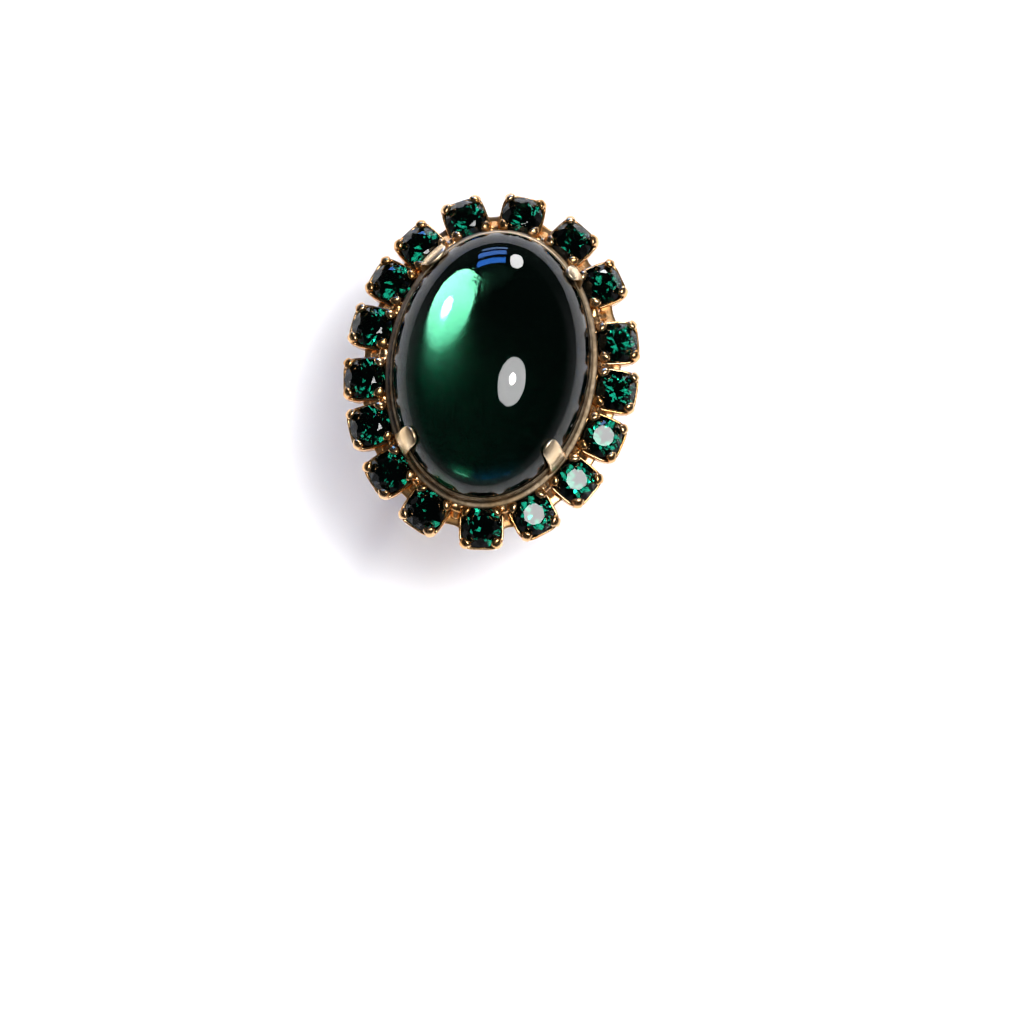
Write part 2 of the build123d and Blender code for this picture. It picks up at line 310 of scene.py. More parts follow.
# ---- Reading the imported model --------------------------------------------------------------


def node_points(name: str) -> Array:
    """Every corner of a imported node's mesh, in millimetres."""
    vertices = frame["nodes"][name].data.vertices
    flat = np.empty(len(vertices) * 3, np.float32)
    vertices.foreach_get("co", flat)
    return flat.reshape(-1, 3).astype(float) / MM


def node_box(name: str) -> tuple[Array, Array]:
    """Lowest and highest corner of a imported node, in millimetres."""
    low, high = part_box(name)
    return np.array(low) / MM, np.array(high) / MM


@dataclass(frozen=True)
class Oval:
    """An oval in plan, centred on the ring's Z axis."""

    half_width: float
    half_length: float

    def at(self, turn: Array, offset: Array | float = 0.0, share: Array | float = 1.0) -> Array:
        """Plan points: share times the oval's own point, plus offset along its outward normal.

        Args:
            turn: angle parameter of each point, from +X towards +Y.
            offset: distance out from the oval, in millimetres.
            share: 1 on the oval, 0 at its centre.

        Returns:
            Array with a last axis of 2.
        """
        normal = unit(np.stack([np.cos(turn) / self.half_width, np.sin(turn) / self.half_length], axis=-1))
        own = np.stack([np.cos(turn) * self.half_width, np.sin(turn) * self.half_length], axis=-1)
        return own * np.asarray(share)[..., None] + normal * np.asarray(offset)[..., None]

    def speed(self, turn: float) -> float:
        """Length along the oval for each radian of its angle parameter."""
        return math.hypot(self.half_width * math.sin(turn), self.half_length * math.cos(turn))


@dataclass(frozen=True)
class Station:
    """One stone cup's own axes: x along the halo, y outwards, z up the cup from its foot."""

    origin: Array
    along: Array
    outward: Array
    up: Array

    @classmethod
    def read(cls, number: str) -> "Station":
        """Finds a cup's axes from its packed stone and cup.

        The stone's point is its lowest corner and its table the face furthest from it; the
        line between them is the cup's axis, which leans straight outwards.
        """
        stone = node_points(f"rhinestone_{number}")
        point = stone[stone[:, 2].argmin()]
        up = stone.mean(axis=0) - point
        for _ in range(3):
            height = (stone - point) @ up
            up = stone[height > height.max() * 0.995].mean(axis=0) - point
        up = unit(up)
        outward = unit(np.array([up[0], up[1], 0.0]))
        outward = unit(outward - up * float(outward @ up))
        along = np.cross(outward, up)
        cup = node_points(f"stone_cup_{number}")
        foot = float(((cup - point) @ up).min())
        return cls(point + up * foot, along, outward, up)

    @property
    def axes(self) -> Array:
        """The three axes as rows."""
        return np.stack([self.along, self.outward, self.up])

    def to_ring(self, points: Array) -> Array:
        """Points in the station's axes, given in the ring's."""
        return self.origin + points @ self.axes

    def to_local(self, points: Array) -> Array:
        """Points in the ring's axes, given in the station's."""
        return (points - self.origin) @ self.axes.T


# ---- Materials -----------------------------------------------------------------------------


def linear(colour: str) -> tuple[float, float, float, float]:
    """An sRGB hex colour as linear red, green, blue and an alpha of 1."""
    parts = np.array([int(colour[start : start + 2], 16) for start in (1, 3, 5)]) / 255.0
    low = parts / 12.92
    high = ((parts + 0.055) / 1.055) ** 2.4
    red, green, blue = np.where(parts <= 0.04045, low, high)
    return float(red), float(green), float(blue), 1.0


def add(
    tree: bpy.types.NodeTree,
    kind: str,
    output: str | None = None,
    inputs: dict[str | int, object] | None = None,
    **settings: object,
) -> bpy.types.NodeSocket | None:
    """Adds one node.

    Args:
        tree: the node tree.
        kind: the node's type, without its leading ShaderNode.
        output: the output that is wanted of it; None for the node that ends the tree.
        inputs: for each socket's name or number, a value or another node's output to link.
        settings: the node's own properties.

    Returns:
        The output asked for.
    """
    node = tree.nodes.new("ShaderNode" + kind)
    for key, value in settings.items():
        setattr(node, key, value)
    for key, value in (inputs or {}).items():
        if isinstance(value, bpy.types.NodeSocket):
            tree.links.new(value, node.inputs[key])
        else:
            node.inputs[key].default_value = value
    return node.outputs[output] if output else None


def new_material(name: str) -> tuple[bpy.types.Material, bpy.types.NodeTree]:
    """An empty node material and its tree."""
    material = bpy.data.materials.new(name)
    material.use_nodes = True
    material.node_tree.nodes.clear()
    return material, material.node_tree


def spread(
    tree: bpy.types.NodeTree, value: bpy.types.NodeSocket, low: float, high: float
) -> bpy.types.NodeSocket:
    """A 0 to 1 value stretched to run from low to high."""
    return add(tree, "MapRange", "Result", {"Value": value, "To Min": low, "To Max": high})


@dataclass(frozen=True)
class GoldPlate:
    """Thin rose-gold plate over stamped brass, tumbled bright and then worn by wear.

    It gives the eye a warm mirror with soft edges: the plate is yellower where it has rubbed
    thin, browner where each piece's painted shade lies, partly tarnish and partly painted
    shade, and covered in hairlines.
    """

    name: str
    bright: str
    worn: str
    # the dark colour of tarnish and painted shade
    shade_and_tarnish_colour: str
    roughness: tuple[float, float] = (0.16, 0.34)
    patch: float = 2.2  # size of the worn patches, mm
    wear: tuple[float, float] = (0.42, 0.62)  # pattern values between which the wear sets in
    shade_and_tarnish: tuple[float, float] = (0.5, 1.2)  # share of the painted shade and tarnish that is taken, least and most
    hairline: float = 0.06  # spacing of the hairlines, mm, drawn coarse enough to show
    hairline_squeeze: tuple[float, float, float] = (1.0, 0.12, 1.0)  # what draws them out
    hairline_turn: tuple[float, float, float] = (0.3, 0.2, 0.7)  # the way they run, radians
    hairline_depth: tuple[float, float] = (0.12, 0.01)  # share, and full depth, mm
    hammer: float = 0.55  # size of the soft dents left by stamping, mm
    hammer_depth: tuple[float, float] = (0.25, 0.05)  # share, and full depth, mm

    def build(self) -> bpy.types.Material:
        """Makes the material."""
        material, tree = new_material(self.name)
        place = add(tree, "TexCoord", "Object")
        turned = {"Vector": place, "Scale": self.hairline_squeeze, "Rotation": self.hairline_turn}
        squeezed = add(tree, "Mapping", "Vector", turned)
        patterns = ((place, self.patch, 4.0), (place, self.hammer, 2.0), (squeezed, self.hairline, 3.0))
        patches, dents, hairlines = (
            add(tree, "TexNoise", "Fac", {"Vector": where, "Scale": 1 / (size * MM), "Detail": detail})
            for where, size, detail in patterns
        )
        start, end = self.wear
        wear = add(tree, "MapRange", "Result", {"Value": patches, "From Min": start, "From Max": end})
        # Painted shade with tarnish: each piece's painted shade values, varied by the dents, mix in the dark
        # colour.
        recess = add(tree, "Attribute", "Fac", attribute_name="recess")
        taken = {0: recess, 1: spread(tree, dents, *self.shade_and_tarnish)}
        shade_and_tarnish = add(tree, "Math", "Value", taken, operation="MULTIPLY", use_clamp=True)
        colour = linear(self.bright)
        for factor, other in ((wear, self.worn), (shade_and_tarnish, self.shade_and_tarnish_colour)):
            both = {"Factor": factor, "A": colour, "B": linear(other)}
            colour = add(tree, "Mix", "Result", both, data_type="RGBA")
        rough = spread(tree, hairlines, *self.roughness)
        rougher = add(tree, "Math", "Value", {0: rough, 1: shade_and_tarnish, 2: rough}, operation="MULTIPLY_ADD")
        normal = None
        for pattern, (share, depth) in ((dents, self.hammer_depth), (hairlines, self.hairline_depth)):
            relief = {"Height": pattern, "Strength": share, "Distance": depth * MM}
            normal = add(tree, "Bump", "Normal", relief | ({"Normal": normal} if normal else {}))
        skin = {"Base Color": colour, "Metallic": 1.0, "Roughness": rougher, "Normal": normal}
        add(tree, "OutputMaterial", None, {"Surface": add(tree, "BsdfPrincipled", "BSDF", skin)})
        return material


@dataclass(frozen=True)
class ColouredGlass:
    """Pot-coloured soda-lime or lead glass, fire or wheel polished.

    The colour is in the body, so the stone is darkest where light goes furthest through it.
    The polish is crisp, with the faint haze of handling in patches.
    """

    name: str
    ior: float
    body: str  # what white light becomes
    density: float  # how much the body takes, per metre
    haze: tuple[float, float] = (0.0, 0.03)
    smudge: float = 3.0  # size of the handling patches, mm
    smudge_edge: tuple[float, float] = (0.48, 0.7)  # pattern values between which one fades in
    scratch: float = 0.09  # spacing of the polish lines, mm, drawn coarse enough to show
    scratch_depth: tuple[float, float] = (0.03, 0.004)  # share, and full depth, mm

    def build(self) -> bpy.types.Material:
        """Makes the material."""
        material, tree = new_material(self.name)
        place = add(tree, "TexCoord", "Object")
        smudges, lines = (
            add(tree, "TexNoise", "Fac", {"Vector": place, "Scale": 1 / (size * MM), "Detail": detail})
            for size, detail in ((self.smudge, 3.0), (self.scratch, 2.0))
        )
        start, end = self.smudge_edge
        patch = add(tree, "MapRange", "Result", {"Value": smudges, "From Min": start, "From Max": end})
        share, depth = self.scratch_depth
        relief = {"Height": lines, "Strength": share, "Distance": depth * MM}
        skin = {
            "Base Color": (1.0, 1.0, 1.0, 1.0),
            "Roughness": spread(tree, patch, *self.haze),
            "IOR": self.ior,
            "Transmission Weight": 1.0,
            "Normal": add(tree, "Bump", "Normal", relief),
        }
        inside = {"Color": linear(self.body), "Density": self.density}
        ends = {
            "Surface": add(tree, "BsdfPrincipled", "BSDF", skin),
            "Volume": add(tree, "VolumeAbsorption", "Volume", inside),
        }
        add(tree, "OutputMaterial", None, ends)
        return material


@dataclass(frozen=True)
class BackFoil:
    """Lacquered tin foil, rolled and pressed behind a stone.

    It throws light back through the stone, unevenly, because it is creased and has aged in
    patches where the lacquer has dulled. Behind a large stone it may have aged wholly along
    one side, where damp got in; along its rim it is painted dark, as painted shade.
    """

    name: str
    bright: str
    dull: str
    roughness: tuple[float, float]
    crease: float  # size of the creases, mm
    depth: float  # how strongly they turn the light
    crease_height: float = 0.04  # of a full crease, mm
    flattened: float = 0.08  # share of a crease that is left where no patch has aged
    patch: float = 2.6  # size of the aged patches, mm
    patch_edge: tuple[float, float] = (0.52, 0.68)  # pattern values between which one fades in
    patch_share: float = 0.45  # how far a patch has aged
    damp: tuple[float, float] = (90.0, 80.0)  # Y at which damp sets in, and Y where it is full, mm
    speckle: tuple[float, float] = (0.38, 0.6)  # pattern values between which damp takes hold
    speckle_share: float = 0.75  # how far damp reaches where it takes hold least
    rim: str = "#0c1a14"  # painted shade near the stone's edge

    def build(self) -> bpy.types.Material:
        """Makes the material."""
        material, tree = new_material(self.name)
        place = add(tree, "TexCoord", "Object")
        per_crease = 1 / (self.crease * MM)
        creases = add(tree, "TexVoronoi", "Distance", {"Vector": place, "Scale": per_crease})
        aged, speckle = (
            add(tree, "TexNoise", "Fac", {"Vector": place, "Scale": scale, "Detail": detail})
            for scale, detail in ((1 / (self.patch * MM), 5.0), (SPECKLES_PER_CREASE * per_crease, 3.0))
        )
        along = add(tree, "SeparateXYZ", "Y", {"Vector": place})
        dry, wet = self.damp
        patches, reached, grain = (
            add(
                tree,
                "MapRange",
                "Result",
                {"Value": value, "From Min": start, "From Max": end, "To Min": low, "To Max": high},
            )
            for value, start, end, low, high in (
                (aged, *self.patch_edge, 0.0, self.patch_share),
                (along, wet * MM, dry * MM, 1.0, 0.0),
                (speckle, *self.speckle, self.speckle_share, 1.0),
            )
        )
        damp = add(tree, "Math", "Value", {0: reached, 1: grain}, operation="MULTIPLY")
        share = add(tree, "Math", "Value", {0: patches, 1: damp}, operation="MAXIMUM")
        height = add(tree, "Math", "Value", {0: 1.0, 1: reached}, operation="SUBTRACT")
        for factor in (spread(tree, patches, self.flattened, 1.0), creases):
            height = add(tree, "Math", "Value", {0: height, 1: factor}, operation="MULTIPLY")
        # Painted shade: the rim colour mixed in by the piece's painted shade values.
        dark = add(tree, "Attribute", "Fac", attribute_name="recess")
        colour = linear(self.bright)
        for factor, other in ((share, self.dull), (dark, self.rim)):
            both = {"Factor": factor, "A": colour, "B": linear(other)}
            colour = add(tree, "Mix", "Result", both, data_type="RGBA")
        relief = {"Height": height, "Strength": self.depth, "Distance": self.crease_height * MM}
        skin = {
            "Base Color": colour,
            "Metallic": 1.0,
            "Roughness": spread(tree, share, *self.roughness),
            "Normal": add(tree, "Bump", "Normal", relief),
        }
        add(tree, "OutputMaterial", None, {"Surface": add(tree, "BsdfPrincipled", "BSDF", skin)})
        return material


@dataclass(frozen=True)
class PaperFloor:
    """Smooth white card, matt, with the slightest tooth."""

    colour: str = "#f4f3f1"
    roughness: tuple[float, float] = (0.75, 0.9)
    tooth: float = 0.4  # grain of the card, mm
    tooth_depth: tuple[float, float] = (0.08, 0.05)  # share, and full depth, mm

    def build(self) -> bpy.types.Material:
        """Makes the material."""
        material, tree = new_material("white card")
        place = add(tree, "TexCoord", "Object")
        grain = add(tree, "TexNoise", "Fac", {"Vector": place, "Scale": 1 / (self.tooth * MM)})
        share, depth = self.tooth_depth
        relief = {"Height": grain, "Strength": share, "Distance": depth * MM}
        skin = {
            "Base Color": linear(self.colour),
            "Roughness": spread(tree, grain, *self.roughness),
            "Normal": add(tree, "Bump", "Normal", relief),
        }
        add(tree, "OutputMaterial", None, {"Surface": add(tree, "BsdfPrincipled", "BSDF", skin)})
        return material


# ---- Large stone ---------------------------------------------------------------------------


@dataclass
class Cabochon:
    """Oval glass dome with its flat polished back and the foil behind it."""

    columns: int = 192
    dome_rows: int = 72
    girdle_round: float = 0.12  # softening of the two edges of the girdle
    girdle_share: float = 0.9 / 6.5  # upright edge, as a share of the whole height
    foil_rows: int = 60
    foil_inset: float = 0.25
    foil_wave: float = 0.01  # height of the foil's buckles
    foil_gap: float = 0.004
    foil_painted_shade: tuple[float, float] = (0.84, 0.08)  # where the painted shade at its rim begins, and over what share

    def __post_init__(self) -> None:
        """Reads the stone's and the foil's boxes."""
        self.low, self.high = node_box("cabochon")
        self.foil_low, self.foil_high = node_box("cabochon_foil")
        self.oval = Oval((self.high[0] - self.low[0]) / 2, (self.high[1] - self.low[1]) / 2)
        self.girdle_top = self.low[2] + self.girdle_share * (self.high[2] - self.low[2])
        self.dome_height = self.high[2] - self.girdle_top

    def glass(self) -> Surface:
        """The stone: back edge, girdle, then an ellipsoid whose angle runs from 0 to its top."""
        turn = around(self.columns)
        quarter = np.linspace(0.0, math.pi / 2, 6)
        edge_offset = -self.girdle_round * (1 - np.sin(quarter))
        edge_height = self.low[2] + self.girdle_round * (1 - np.cos(quarter))
        rise = np.linspace(0.0, math.pi / 2, self.dome_rows + 1)[:-1]
        share = np.concatenate([[0.35, 0.7, 0.9], np.ones(len(quarter)), np.cos(rise)])
        offset = np.concatenate([[-self.girdle_round] * 3, edge_offset, np.zeros(len(rise))])
        dome = self.girdle_top + self.dome_height * np.sin(rise)
        height = np.concatenate([[self.low[2]] * 3, edge_height, dome])
        plan = self.oval.at(turn[None, :], offset[:, None], share[:, None])
        low, high = (np.array([0.0, 0.0, level]) for level in (self.low[2], self.high[2]))
        return grid(lifted(plan, height[:, None]), low, high)

    def foil(self) -> Surface:
        """Thin foil sheet, buckled by a sum of three slow waves that die out at its edge."""
        turn = around(self.columns)
        share = np.concatenate([np.linspace(0.02, 1.0, self.foil_rows), np.linspace(1.0, 0.02, 8)])
        upper = np.arange(len(share)) < self.foil_rows
        inner = Oval(self.oval.half_width - self.foil_inset, self.oval.half_length - self.foil_inset)
        plan = inner.at(turn[None, :], 0.0, share[:, None])
        x, y = plan[..., 0], plan[..., 1]
        wave = (
            np.sin(0.62 * x + 0.35 * y + 0.6) + np.sin(-0.44 * x + 0.71 * y + 2.1) + np.sin(1.3 * x - 0.5 * y)
        ) / 3.0
        dip = self.foil_wave * (1 - share[:, None] ** 4) * (wave - 1.0) / 2.0
        level = np.where(upper[:, None], self.foil_high[2] - self.foil_gap + dip, self.foil_low[2] + 0.01)
        surface = grid(lifted(plan, level))
        out = np.hypot(surface.points[:, 0] / inner.half_width, surface.points[:, 1] / inner.half_length)
        # Painted shade along the foil's rim, dark where the lamps' reflections would show near the edge.
        return surface.with_painted_shade(ramp(out, *self.foil_painted_shade))

    def build(self, glass: bpy.types.Material, foil: bpy.types.Material) -> None:
        """Makes the stone and its foil."""
        dress(make_piece("cabochon_stone", self.glass()), glass, replaces=("cabochon",))
        dress(make_piece("cabochon_back_foil", self.foil()), foil, replaces=("cabochon_foil",))


@dataclass(frozen=True)
class Claw:
    """One bent claw of the large cup, each a little different."""

    turn: float  # place round the oval, degrees from +X towards +Y
    reach: float  # along the dome, from the girdle to the tip
    width: float
    stand: float  # how far its bend stands off the rim
    lean: float  # how far its tip leans to one side


@dataclass
class LargeCup:
    """Thin oval cup round the cabochon, its rim rolled over the girdle, with four bent claws."""

    stone: Cabochon
    columns: int = 256
    wall: float = 0.3
    lip_height: float = 0.2  # of the rim above the girdle
    rim_inset: float = 0.04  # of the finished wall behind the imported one
    flange: float = 0.5  # how far the cup's foot turns out
    inside_from: float = 0.74  # where along the wall's profile the painted shade of the inside begins
    lip_gap: float = 0.03
    claws: tuple[Claw, ...] = (
        Claw(46.5, 1.9, 1.5, 0.42, 0.1),
        Claw(133.5, 1.6, 2.5, 0.5, -0.2),
        Claw(221.5, 2.8, 1.95, 0.26, 0.3),
        Claw(319.5, 3.1, 1.85, 0.14, -0.1),
    )
    claw_thickness: float = 0.4
    claw_flare: float = 0.7  # how much wider a claw's root is than its middle
    bend_start: float = 0.8  # how far below the girdle a claw leaves the wall
    claw_rows: int = 56
    claw_columns: int = 28

    def __post_init__(self) -> None:
        """Reads the cup's box."""
        self.low, self.high = node_box("cabochon_cup")

    def cup(self) -> Surface:
        """The cup: a wall profile carried round the oval, closed by a floor.

        The profile goes up the outside, bulging by a sine over its height, rolls over the
        girdle, comes down just outside the stone and runs in under the foil.
        """
        turn = around(self.columns)
        bottom = self.low[2]
        floor = node_box("cabochon_foil")[0][2]
        girdle = self.stone.girdle_top
        rim = girdle + self.lip_height
        outer = (self.high[0] - self.low[0]) / 2 - self.stone.oval.half_width - self.rim_inset
        corners = np.array(
            [
                (outer - 0.30, bottom),
                (outer + self.flange - 0.08, bottom + 0.02),
                (outer + self.flange, bottom + 0.12),
                (outer + self.flange - 0.1, bottom + 0.22),
                (outer + 0.02, bottom + 0.32),
                (outer - 0.02, bottom + 0.75),
                (outer, girdle - 0.25),
                (outer, girdle + 0.05),
                (outer - 0.06, rim - 0.07),
                (outer - 0.14, rim),
                (self.lip_gap + 0.03, rim - 0.02),
                (self.lip_gap, girdle + 0.06),
                (self.lip_gap + 0.02, girdle - 0.4),
                (self.lip_gap + 0.02, floor + 0.06),
                (-0.3, floor),
            ]
        )
        path = smooth_path(corners, 64)
        offset = np.concatenate([[0.0, 0.0], path[:, 0], [0.0, 0.0]])
        height = np.concatenate([[bottom, bottom], path[:, 1], [floor, floor]])
        share = np.concatenate([[0.4, 0.85], np.ones(len(path)), [0.85, 0.4]])
        plan = self.stone.oval.at(turn[None, :], offset[:, None], share[:, None])
        wobble = 0.02 * np.sin(5 * turn + 1.0) + 0.015 * np.sin(11 * turn)
        lift = np.outer(ramp(height, girdle, self.lip_height), wobble)
        surface = grid(lifted(plan, height[:, None] + lift))
        # Painted shade: the wall darkens towards its foot, and all round but at the +Y end, which
        # is left bright as a painted highlight. The turned-out foot has even painted shade, the inside the
        # most.
        low = 0.75 * ramp(girdle - 0.1 - surface.points[:, 2], 0.0, 0.6)
        foot = ramp(bottom + 0.34 - surface.points[:, 2], 0.0, 0.1)
        painted_highlight = ramp(surface.points[:, 1] / self.high[1], 0.55, 0.3)
        outside = np.maximum(low, 0.8 * (1.0 - painted_highlight)) * (1.0 - foot) + 0.7 * foot
        row = np.concatenate([np.repeat(np.arange(len(share)), self.columns), [0, len(share)]])
        return surface.with_painted_shade(np.where(row > 2 + self.inside_from * len(path), 1.0, outside))

    def claw(self, claw: Claw) -> Surface:
        """One claw: a flat tapering strip carried up the cup's wall and over the dome.

        Along the strip, the path is the oval's wall up to the girdle and then the ellipsoid,
        pushed out by a half sine between the claw's root and its tip. Across it, each section
        is a superellipse that narrows to a round tip.
        """
        oval = self.stone.oval
        turn = math.radians(claw.turn)
        half = self.claw_thickness / 2
        wall_out = (self.high[0] - self.low[0]) / 2 - oval.half_width
        wall_length = self.stone.girdle_top - self.low[2] - 0.5
        along = np.linspace(-wall_length, claw.reach, self.claw_rows)
        place = along / claw.reach
        tip_length = min(0.8, 0.45 * claw.reach)
        root = claw.width + self.claw_flare
        widths = [root, root - 0.4 * self.claw_flare, claw.width, 0.94 * claw.width]
        width = np.interp(along, [-wall_length, -0.5, 0.35 * claw.reach, claw.reach], widths) / 2
        tip = np.sqrt(1.0 - np.clip((along - (claw.reach - tip_length)) / tip_length, 0.0, 0.999) ** 2.4)
        width = width * np.maximum(tip, 0.05)
        thick = half * (0.45 + 0.55 * np.minimum(1.0, tip * 1.5))
        section = around(self.claw_columns)
        side, face = rounded(section, 3.0)
        across = np.outer(width, side) + claw.lean * np.clip(place, 0.0, 1.0)[:, None] ** 1.5
        reach = np.clip(along, 0.0, None)[:, None]
        angle = turn + across / (oval.speed(turn) * (1.0 - reach / oval.half_width * 0.35))
        radius = float(np.linalg.norm(oval.at(np.array(turn))))
        inset = self.dome_share(reach, radius) + 0.0 * angle
        plan = oval.at(angle, 0.0, inset)
        rise = self.stone.dome_height * np.sqrt(np.clip(1.0 - inset**2, 0.0, 1.0))
        base = lifted(plan, self.stone.girdle_top + rise)
        halves = np.array([oval.half_width, oval.half_length, self.stone.dome_height])
        normal = unit(lifted(plan, rise) / halves**2)
        base[..., 2] += np.minimum(along, 0.0)[:, None]
        # On the wall the strip hugs the cup; over the dome it settles onto the glass.
        settled = ramp(along, -0.1, 0.9)
        stand = (wall_out - 0.02) * (1.0 - settled) + 0.05 * settled + half * 0.9
        bent = ramp(along, -self.bend_start, claw.reach + self.bend_start)
        stand = stand + claw.stand * np.sin(bent * math.pi)
        surface = grid(base + normal * (stand[:, None] + np.outer(thick, face))[..., None])
        # Painted shade on the claw, darker down the wall below the girdle.
        return surface.with_painted_shade(np.clip(self.stone.girdle_top - 0.4 - surface.points[:, 2], 0.0, 0.6))

    def dome_share(self, reach: Array, radius: float) -> Array:
        """Share of the half size left after going a length over the dome.

        The dome's side is nearly an ellipse of the plan radius and the dome's height. Its
        length is summed in small steps of the angle, and read backwards.
        """
        angle = np.linspace(0.0, math.pi / 2, 600)
        step = np.hypot(radius * np.sin(angle), self.stone.dome_height * np.cos(angle))
        length = np.concatenate([[0.0], np.cumsum((step[1:] + step[:-1]) / 2 * np.diff(angle))])
        return np.cos(np.interp(reach, length, angle))

    def build(self, gold: bpy.types.Material) -> None:
        """Makes the cup and its claws."""
        dress(make_piece("large_cup", self.cup()), gold, replaces=("cabochon_cup",))
        for index, claw in enumerate(self.claws):
            dress(make_piece(f"large_cup_claw_{index + 1}", self.claw(claw)), gold)


# ---- Small stones --------------------------------------------------------------------------


@dataclass
class Chaton:
    """Machine-cut round stone: table, stars, kites and girdle facets over a faceted cone."""

    sides: int = 8
    star_reach: float = 0.36  # how far the star tips lie from table to girdle, as a share
    pavilion_reach: float = 0.42  # the same for the lower facets, from point to girdle
    foil_gap: float = 0.006  # between the stone's back and the foil
    foil_thickness: float = 0.06

    def __post_init__(self) -> None:
        """Reads the stone's levels from the first packed stone."""
        station = Station.read(CHATON_NUMBERS[0])
        local = station.to_local(node_points(f"rhinestone_{CHATON_NUMBERS[0]}"))
        radius = np.hypot(local[:, 0], local[:, 1])
        self.radius = float(radius.max())
        edge = local[radius > 0.98 * self.radius, 2]
        self.girdle_low = float(edge.min())
        self.girdle_high = float(edge.max())
        self.table_height = float(local[:, 2].max())
        self.table_radius = float(radius[local[:, 2] > self.table_height - 0.02].max())
        self.point_height = float(local[:, 2].min())

    def level(self, radius: float, height: float, count: int, half_step: bool) -> Array:
        """Corners of one level: evenly turned points on a circle."""
        turn = (np.arange(count) + (0.5 if half_step else 0.0)) * FULL_TURN / count
        return np.stack([radius * np.cos(turn), radius * np.sin(turn), np.full(count, height)], axis=-1)

    def on_kite(self, inner: tuple[float, float], outer: tuple[float, float], radius: float) -> float:
        """Height at which a corner half a step round lies in the flat kite of its neighbour.

        The kite's plane is straight from its inner to its outer corner, and a corner turned by
        half a step stands at its radius times the cosine of that turn along it.
        """
        reached = radius * math.cos(math.pi / self.sides)
        share = (reached - inner[0]) / (outer[0] - inner[0])
        return inner[1] + share * (outer[1] - inner[1])

    def back_faces(self, girdle: int, lower: int, point: int) -> Faces:
        """Kites and half facets of the stone's back, given where each level's corners start."""
        k = np.arange(self.sides)
        after = (k + 1) % self.sides
        before = (k - 1) % self.sides
        even, odd, following = girdle + 2 * k, girdle + 2 * k + 1, girdle + 2 * after
        kites = np.stack([even, lower + k, np.full(self.sides, point), lower + before], axis=-1)
        first = np.stack([even, odd, lower + k], axis=-1)
        second = np.stack([odd, following, lower + k], axis=-1)
        return [kites, np.concatenate([first, second])]

    def back_levels(self) -> tuple[Array, Array]:
        """The girdle's lower corners and the corners where the back's facets meet."""
        low = self.level(self.radius, self.girdle_low, 2 * self.sides, False)
        lower_radius = self.pavilion_reach * self.radius
        height = self.on_kite((0.0, self.point_height), (self.radius, self.girdle_low), lower_radius)
        return low, self.level(lower_radius, height, self.sides, True)

    def glass(self) -> Surface:
        """The cut stone, every facet flat."""
        star_radius = self.table_radius + self.star_reach * (self.radius - self.table_radius)
        star_height = self.on_kite(
            (self.table_radius, self.table_height), (self.radius, self.girdle_high), star_radius
        )
        table = self.level(self.table_radius, self.table_height, self.sides, False)
        star = self.level(star_radius, star_height, self.sides, True)
        high = self.level(self.radius, self.girdle_high, 2 * self.sides, False)
        low, lower = self.back_levels()
        point = np.array([[0.0, 0.0, self.point_height]])
        points = np.concatenate([table, star, high, low, lower, point])
        n = self.sides
        k = np.arange(n)
        after, before = (k + 1) % n, (k - 1) % n
        stars, girdle, under = n, 2 * n, 4 * n
        even, odd, following = girdle + 2 * k, girdle + 2 * k + 1, girdle + 2 * after
        ring = np.arange(2 * n)
        beside = (ring + 1) % (2 * n)
        faces: Faces = [
            k[None, :],
            np.stack([k, stars + k, after], axis=-1),
            np.stack([k, stars + before, even, stars + k], axis=-1),
            np.stack([stars + k, even, odd], axis=-1),
            np.stack([stars + k, odd, following], axis=-1),
            np.stack([girdle + ring, under + ring, under + beside, girdle + beside], axis=-1),
        ]
        faces += self.back_faces(under, under + 2 * n, under + 3 * n)
        middle = np.array([0.0, 0.0, self.girdle_low])
        return Surface(points, faced(points, faces, middle))

    def foil(self) -> Surface:
        """Thin mirror coat on the stone's back: its back facets, lowered once and again."""
        low, lower = self.back_levels()
        point = np.array([[0.0, 0.0, self.point_height]])
        own = np.concatenate([low, lower, point])
        depths = (self.foil_gap, self.foil_gap + self.foil_thickness)
        skins = [own - np.array([0.0, 0.0, depth]) for depth in depths]
        count = len(own)
        n = self.sides
        inner = self.back_faces(0, 2 * n, 3 * n)
        outer = self.back_faces(count, count + 2 * n, count + 3 * n)
        ring = np.arange(2 * n)
        beside = (ring + 1) % (2 * n)
        edge = np.stack([ring, beside, count + beside, count + ring], axis=-1)
        points = np.concatenate(skins)
        above, middle, below = (np.array([0.0, 0.0, height]) for height in (1e3, self.girdle_low, -1e3))
        faces = [*faced(points, inner, below), *faced(points, outer, above), *faced(points, [edge], middle)]
        return Surface(points, faces)


